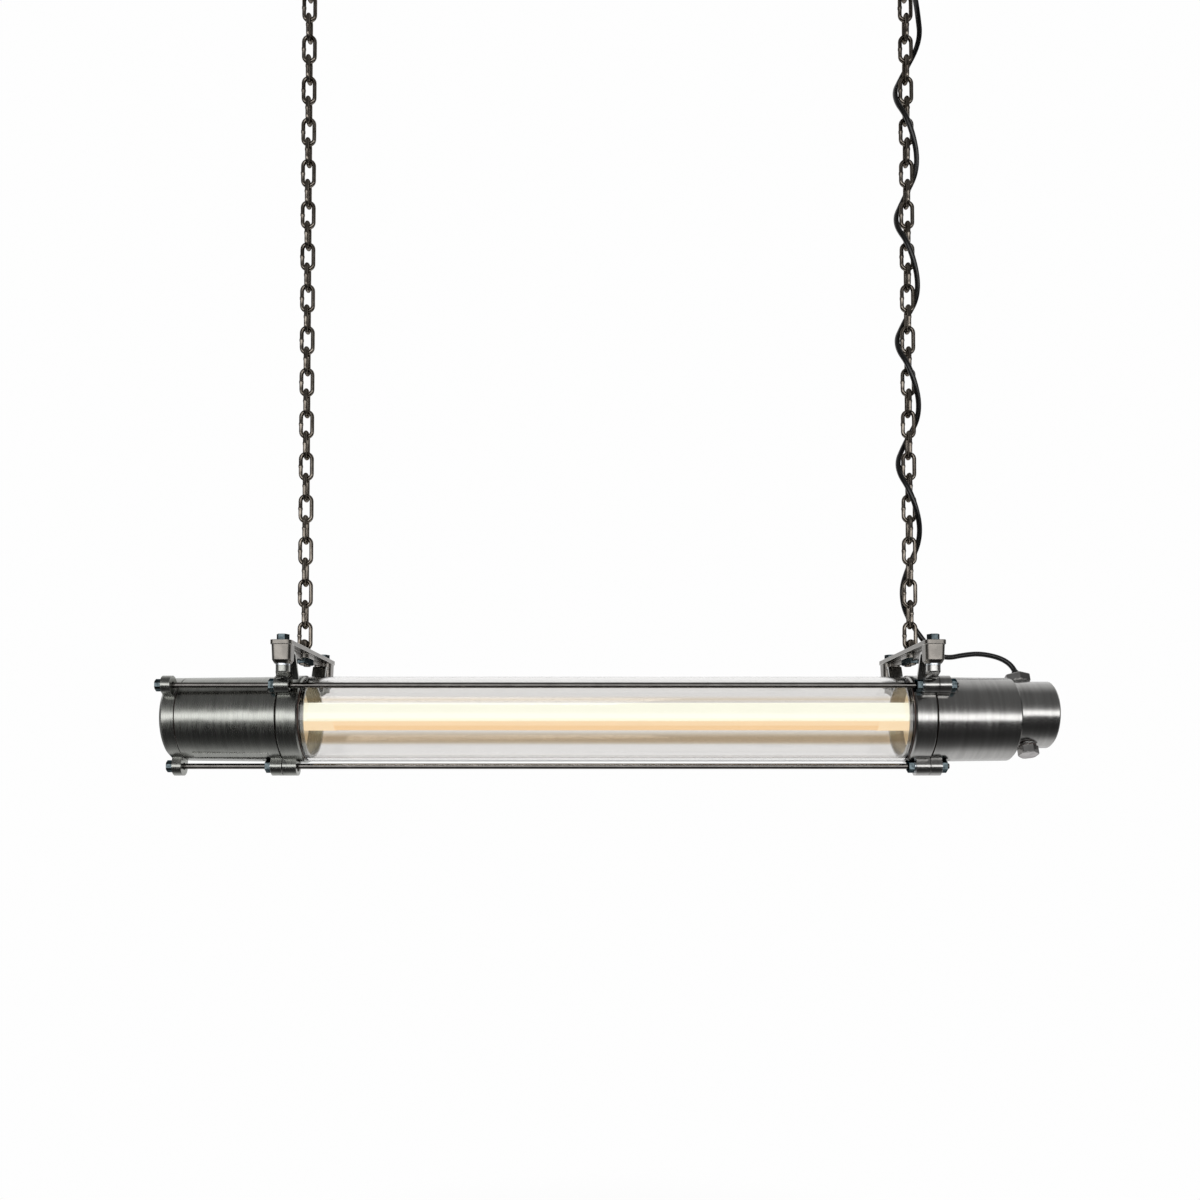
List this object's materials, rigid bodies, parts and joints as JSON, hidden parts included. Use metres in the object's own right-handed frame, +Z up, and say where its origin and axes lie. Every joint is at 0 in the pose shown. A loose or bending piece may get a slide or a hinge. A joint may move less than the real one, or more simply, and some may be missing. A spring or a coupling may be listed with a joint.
{
  "type": "pendant light",
  "caption": "Tubular pendant light: glass tube between cast end housings held by tie rods, hung level on two chains, with a cord wound round one chain.",
  "frame": {"origin": "on the ceiling plane, halfway between the two ceiling hooks", "axes": "+X along the lamp towards its terminal box, +Y from the lamp's front to its back, +Z up to the ceiling"},
  "size_m": [0.8432, 0.1818, 0.8011],
  "materials": {
    "casting": "cast and painted dark grey, satin",
    "bracket_metal": "bare casting, satin",
    "chain_steel": "dull dark plated steel",
    "zinc_steel": "bluish zinc plating",
    "nickel_brass": "nickel plated",
    "seal_rubber": "matt",
    "clear_glass": "clear, polished",
    "diffuser": "milky, glowing",
    "amber_spine": "satin",
    "ivory_plastic": "moulded",
    "pin_brass": "bright",
    "cord_rubber": "satin sheath",
    "rose_plastic": "satin moulding"
  },
  "bodies": {
    "ceiling": {"left_ceiling_hook": "chain_steel", "right_ceiling_hook": "chain_steel", "rose_base": "rose_plastic", "rose_cover": "rose_plastic", "rose_cord_grip": "rose_plastic", "cord_top": "cord_rubber"},
    "hangers": {"hanger_links": "chain_steel"},
    "right_chain_body": {"right_chain": "chain_steel", "cord_wound": "cord_rubber"},
    "left_chain_body": {"left_chain": "chain_steel"},
    "led_tube": {"led_diffuser": "diffuser", "led_spine": "amber_spine", "led_end_caps": "ivory_plastic", "led_pins": "pin_brass", "lampholder_rotors": "ivory_plastic"},
    "lamp": {"blanking_plug": "nickel_brass", "bracket_bolts": "zinc_steel", "bracket_washers": "zinc_steel", "cap_nuts": "zinc_steel", "cord_tail": "cord_rubber", "cover_gasket": "seal_rubber", "eye_nuts": "zinc_steel", "flange_gaskets": "seal_rubber", "gland_body": "nickel_brass", "gland_nut": "nickel_brass", "gland_seal": "seal_rubber", "glass_seals": "seal_rubber", "glass_tube": "clear_glass", "left_bracket": "bracket_metal", "left_collar": "casting", "left_end_cover": "casting", "left_end_disc": "ivory_plastic", "left_eye": "chain_steel", "left_housing": "casting", "left_lampholder": "ivory_plastic", "plug_seal": "seal_rubber", "right_bracket": "bracket_metal", "right_collar": "casting", "right_end_disc": "ivory_plastic", "right_eye": "chain_steel", "right_housing": "casting", "right_lampholder": "ivory_plastic", "rod_nuts": "zinc_steel", "rod_washers": "zinc_steel", "terminal_block": "ivory_plastic", "terminal_box": "casting", "terminal_cover": "casting", "tie_rods": "zinc_steel"}
  },
  "joints": [
    {"name": "hanger_swing", "type": "hinge", "parent": "ceiling", "child": "hangers", "pos_m": [0, 0, -0.0203], "axis": [1, 0, 0], "range_deg": [-20, 20], "deforming": ["cord_top"]},
    {"name": "right_chain_sway", "type": "hinge", "parent": "hangers", "child": "right_chain_body", "pos_m": [0.292, 0, -0.03976], "axis": [0, 1, 0], "range_deg": [-20, 20]},
    {"name": "left_chain_sway", "type": "hinge", "parent": "hangers", "child": "left_chain_body", "pos_m": [-0.292, 0, -0.03976], "axis": [0, 1, 0], "range_deg": [-20, 20]},
    {"name": "lamp_level", "type": "hinge", "parent": "right_chain_body", "child": "lamp", "pos_m": [0.292, 0, -0.6728], "axis": [0, 1, 0], "range_deg": [-20, 20], "deforming": ["cord_tail"]},
    {"name": "led_tube_turn", "type": "hinge", "parent": "lamp", "child": "led_tube", "pos_m": [0, 0, -0.7442], "axis": [1, 0, 0], "range_deg": [0, 90]}
  ],
  "couplings": [
    {"joint": "left_chain_sway", "follows": "right_chain_sway", "ratio": 1},
    {"joint": "lamp_level", "follows": "right_chain_sway", "ratio": -1}
  ]
}
